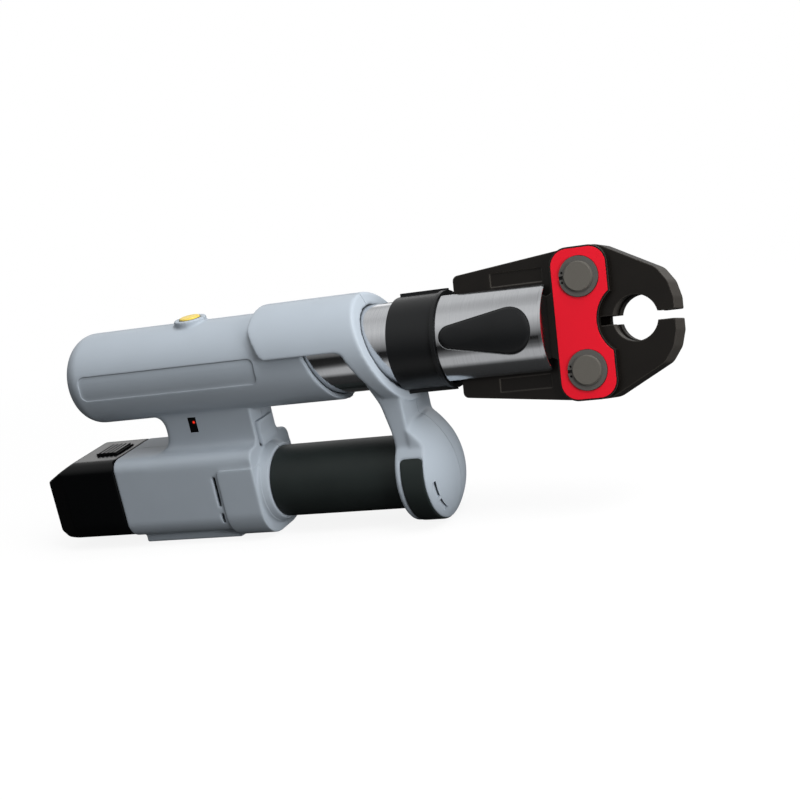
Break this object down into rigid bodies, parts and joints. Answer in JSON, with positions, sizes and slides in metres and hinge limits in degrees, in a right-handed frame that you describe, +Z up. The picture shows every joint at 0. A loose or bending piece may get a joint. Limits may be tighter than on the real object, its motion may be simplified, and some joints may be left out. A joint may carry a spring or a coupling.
{
  "type": "pipe press tool",
  "caption": "Hand-held battery pipe press tool: grey barrel with grip bow below, battery pack behind, swivelling bright fork head and dark hinged press jaws with red link panels.",
  "frame": {"origin": "centre of the jaw bore, where the pipe's axis runs with the jaws at rest", "axes": "+X along the tool axis to the jaw tips, +Z up from the base rail, +Y to the far side"},
  "size_m": [0.527, 0.082, 0.1876],
  "materials": {
    "grey_plastic": "moulded grey ABS, fine matt grain",
    "bright_steel": "turned and brushed bright steel",
    "dark_steel": "phosphated dark steel",
    "steel": "plain machined steel",
    "red_panel": "bright red lacquer",
    "yellow_plastic": "pale yellow moulded plastic",
    "black_plastic": "black moulded plastic",
    "black_gloss": "black plastic, half gloss",
    "black_rubber": "black rubber",
    "brass": "machined brass",
    "board": "green solder mask",
    "cell_sleeve": "shrink sleeve"
  },
  "bodies": {
    "tool_body": {"housing_left": "grey_plastic", "housing_right": "grey_plastic", "housing_screws": "steel", "bow_left": "grey_plastic", "bow_right": "grey_plastic", "bow_screws": "steel", "drum_inlay": "black_rubber", "grip_core": "steel", "grip_sleeve": "black_rubber", "led_window": "black_plastic", "led_lamp": "red_panel", "circuit_board": "board", "trigger_spring": "steel", "trigger_switch": "black_plastic", "button_spring": "steel", "motor_can": "steel", "motor_magnets": "dark_steel", "motor_rings": "black_rubber", "gearbox_plate": "steel", "ring_gear": "steel", "carrier_bearing": "steel", "pump_block": "bright_steel", "plunger_spring": "steel", "oil_bladder": "black_rubber", "cylinder_tube": "bright_steel", "rod_seal": "black_rubber", "return_spring": "steel", "swivel_ring": "steel"},
    "trigger": {"trigger": "grey_plastic"},
    "release_button": {"release_button": "yellow_plastic"},
    "rotor": {"motor_rotor": "steel"},
    "carrier": {"planet_carrier": "steel", "eccentric_bearing": "steel"},
    "planet_1": {"planet_gear_1": "brass"},
    "planet_2": {"planet_gear_2": "brass"},
    "planet_3": {"planet_gear_3": "brass"},
    "plunger": {"pump_plunger": "steel"},
    "head": {"fork_head": "bright_steel", "swivel_band": "black_plastic", "near_link_plate": "dark_steel", "far_link_plate": "dark_steel", "link_panels": "red_panel", "pivot_bolts": "steel", "circlips": "dark_steel"},
    "piston": {"piston": "steel", "piston_seal": "black_rubber", "roller_carriage": "steel", "roller_axles": "steel"},
    "roller_up": {"upper_roller": "bright_steel"},
    "roller_low": {"lower_roller": "bright_steel"},
    "jaw_up": {"upper_jaw": "dark_steel"},
    "jaw_low": {"lower_jaw": "dark_steel"},
    "retainer": {"retaining_pin": "steel", "pin_paddle": "black_plastic"},
    "battery": {"battery_case": "black_gloss", "battery_lid": "black_plastic", "battery_cells": "cell_sleeve", "battery_contacts": "brass", "latch_spring": "steel"},
    "latch": {"battery_latch": "black_plastic"}
  },
  "joints": [
    {"name": "trigger_pull", "type": "slide", "parent": "tool_body", "child": "trigger", "axis": [-1, 0, 0], "range_m": [0, 0.003], "stiffness_N_per_m": 600, "springref_m": -0.004, "deforming": ["trigger_spring"]},
    {"name": "release_press", "type": "slide", "parent": "tool_body", "child": "release_button", "axis": [0, 0, -1], "range_m": [0, 0.0025], "stiffness_N_per_m": 800, "springref_m": -0.003, "deforming": ["button_spring"]},
    {"name": "rotor_spin", "type": "hinge", "parent": "tool_body", "child": "rotor", "pos_m": [-0.4, 0, 0], "axis": [1, 0, 0], "continuous": true},
    {"name": "carrier_spin", "type": "hinge", "parent": "tool_body", "child": "carrier", "pos_m": [-0.37, 0, 0], "axis": [1, 0, 0], "continuous": true},
    {"name": "planet_1_spin", "type": "hinge", "parent": "carrier", "child": "planet_1", "pos_m": [-0.37, 0.01688, 0], "axis": [1, 0, 0], "continuous": true},
    {"name": "planet_2_spin", "type": "hinge", "parent": "carrier", "child": "planet_2", "pos_m": [-0.37, -0.00844, 0.01461], "axis": [1, 0, 0], "continuous": true},
    {"name": "planet_3_spin", "type": "hinge", "parent": "carrier", "child": "planet_3", "pos_m": [-0.37, -0.00844, -0.01461], "axis": [1, 0, 0], "continuous": true},
    {"name": "plunger_stroke", "type": "slide", "parent": "tool_body", "child": "plunger", "axis": [0, 0, -1], "range_m": [0, 0.0024], "stiffness_N_per_m": 2000, "springref_m": -0.002, "deforming": ["plunger_spring"]},
    {"name": "head_swivel", "type": "hinge", "parent": "tool_body", "child": "head", "pos_m": [-0.17, 0, 0], "axis": [1, 0, 0], "range_deg": [-119.44, 150.56]},
    {"name": "piston_stroke", "type": "slide", "parent": "head", "child": "piston", "axis": [1, 0, 0], "range_m": [-0.029, 0.0078], "deforming": ["return_spring"]},
    {"name": "upper_roller_spin", "type": "hinge", "parent": "piston", "child": "roller_up", "pos_m": [-0.111, 0.00249, 0.00896], "axis": [0, 0.9634, -0.2682], "continuous": true},
    {"name": "lower_roller_spin", "type": "hinge", "parent": "piston", "child": "roller_low", "pos_m": [-0.111, -0.00249, -0.00896], "axis": [0, 0.9634, -0.2682], "continuous": true},
    {"name": "upper_jaw_swing", "type": "hinge", "parent": "head", "child": "jaw_up", "pos_m": [-0.035, 0.0085, 0.03054], "axis": [0, 0.9634, -0.2682], "range_deg": [-10.1, 2.8]},
    {"name": "lower_jaw_swing", "type": "hinge", "parent": "head", "child": "jaw_low", "pos_m": [-0.035, -0.0085, -0.03054], "axis": [0, 0.9634, -0.2682], "range_deg": [-2.8, 10.1]},
    {"name": "pin_pull", "type": "slide", "parent": "head", "child": "retainer", "axis": [0, -0.9634, 0.2682], "range_m": [0, 0.055]},
    {"name": "battery_pull", "type": "slide", "parent": "tool_body", "child": "battery", "axis": [-1, 0, 0], "range_m": [0, 0.07]},
    {"name": "latch_press", "type": "slide", "parent": "battery", "child": "latch", "axis": [0, 0, -1], "range_m": [0, 0.0018], "stiffness_N_per_m": 1500, "springref_m": -0.002, "deforming": ["latch_spring"]}
  ],
  "couplings": [
    {"joint": "carrier_spin", "follows": "rotor_spin", "ratio": 0.22222},
    {"joint": "planet_1_spin", "follows": "rotor_spin", "ratio": -0.62222},
    {"joint": "planet_2_spin", "follows": "rotor_spin", "ratio": -0.62222},
    {"joint": "planet_3_spin", "follows": "rotor_spin", "ratio": -0.62222},
    {"joint": "upper_jaw_swing", "follows": "piston_stroke", "rad_per_m": 6},
    {"joint": "lower_jaw_swing", "follows": "piston_stroke", "rad_per_m": -6}
  ]
}
